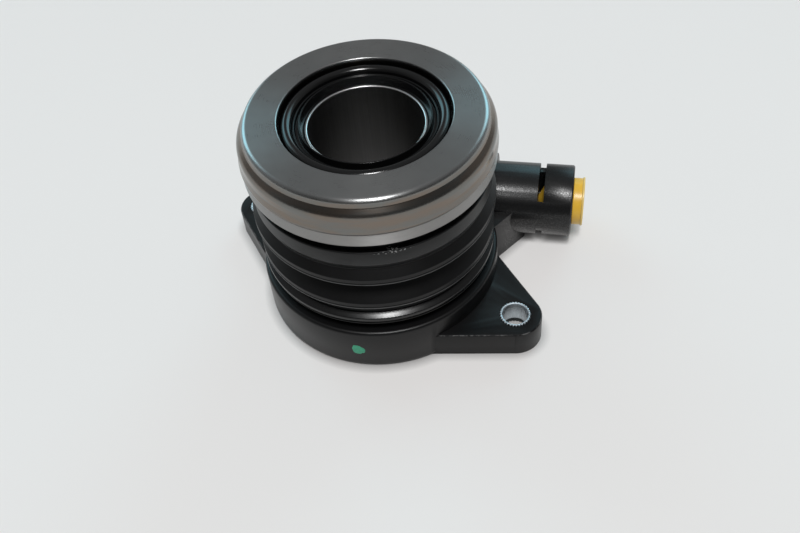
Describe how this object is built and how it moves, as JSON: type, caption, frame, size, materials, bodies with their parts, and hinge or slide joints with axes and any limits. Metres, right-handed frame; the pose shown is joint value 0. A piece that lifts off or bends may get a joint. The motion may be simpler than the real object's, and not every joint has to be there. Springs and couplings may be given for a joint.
{
  "type": "concentric slave cylinder",
  "caption": "Concentric clutch slave cylinder: flanged plastic housing with a side pipe connector, rubber bellows and a sprung release bearing that slides on a central guide tube.",
  "frame": {"origin": "on the shaft axis, in the plane of the face that bolts to the gearbox", "axes": "+Z along the shaft axis towards the clutch, +X along the pipe connector towards its open end"},
  "size_m": [0.103, 0.0709, 0.0617],
  "materials": {
    "housing_plastic": "black glass-filled moulding with a fine matt grain",
    "tube_steel": "drawn steel tube, smooth",
    "seal_rubber": "black rubber",
    "zinc_steel": "bright zinc plate, knurled rim",
    "plug_plastic": "yellow moulded plastic",
    "spring_steel": "oiled spring steel",
    "boot_rubber": "black rubber, satin",
    "ring_plastic": "glossy black plastic",
    "piston_plastic": "black moulding",
    "ground_steel": "ground bearing steel, bright",
    "pressed_steel": "pressed steel, dull grey, polished at its edges",
    "cage_plastic": "moulded cage",
    "ball_steel": "polished bearing balls"
  },
  "bodies": {
    "housing": {"housing": "housing_plastic", "guide_tube": "tube_steel", "tube_o_ring": "seal_rubber", "front_bolt_bush": "zinc_steel", "rear_bolt_bush": "zinc_steel", "transport_plug": "plug_plastic", "lower_spring_seat": "spring_steel", "preload_spring": "spring_steel", "boot": "boot_rubber", "boot_ring": "ring_plastic"},
    "piston": {"piston": "piston_plastic", "piston_seal": "seal_rubber", "upper_spring_seat": "spring_steel", "fixed_race": "ground_steel", "centring_washer": "spring_steel", "race_retainer": "ring_plastic", "wiper_seal": "seal_rubber"},
    "contact_ring": {"contact_ring": "pressed_steel", "bearing_seal": "seal_rubber"},
    "ball_cage": {"ball_cage": "cage_plastic", "bearing_balls": "ball_steel"}
  },
  "joints": [
    {"name": "release_travel", "type": "slide", "parent": "housing", "child": "piston", "axis": [0, 0, 1], "range_m": [-0.014, 0], "stiffness_N_per_m": 2500, "springref_m": 0.012, "deforming": ["boot", "preload_spring"]},
    {"name": "contact_spin", "type": "hinge", "parent": "piston", "child": "contact_ring", "pos_m": [0, 0, 0.0552], "axis": [0, 0, 1], "continuous": true},
    {"name": "cage_spin", "type": "hinge", "parent": "piston", "child": "ball_cage", "pos_m": [0, 0, 0.0552], "axis": [0, 0, 1], "continuous": true}
  ],
  "couplings": [
    {"joint": "cage_spin", "follows": "contact_spin", "ratio": 0.5}
  ]
}
